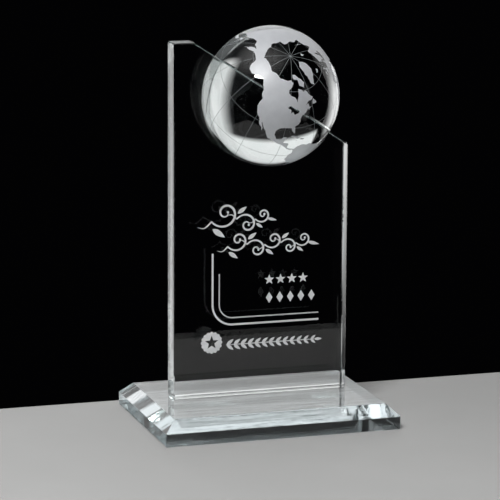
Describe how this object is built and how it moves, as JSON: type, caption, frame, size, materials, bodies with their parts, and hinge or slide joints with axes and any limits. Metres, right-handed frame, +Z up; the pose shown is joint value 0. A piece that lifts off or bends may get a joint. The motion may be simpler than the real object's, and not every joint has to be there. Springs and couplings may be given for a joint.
{
  "type": "crystal award",
  "caption": "Free-standing crystal award: upright slab with a slanted top on a bevelled base, with a frosted half globe on its front.",
  "frame": {"origin": "centre of the base's underside", "axes": "+Z up from the base to the top of the globe, -Y towards the front that carries the globe, +X to the viewer's right when facing the front"},
  "size_m": [0.139, 0.101, 0.2278],
  "materials": {
    "base_crystal": "polished clear crystal with a faint green-grey tint",
    "tower_crystal": "polished clear crystal",
    "globe_crystal": "polished clear crystal, frosted where the map shows land",
    "frost": "sandblasted white frosting",
    "adhesive": "clear cured adhesive"
  },
  "bodies": {
    "root": {"base": "base_crystal", "base_film": "adhesive", "tower": "tower_crystal", "globe_film": "adhesive", "half_globe": "globe_crystal"}
  },
  "joints": []
}
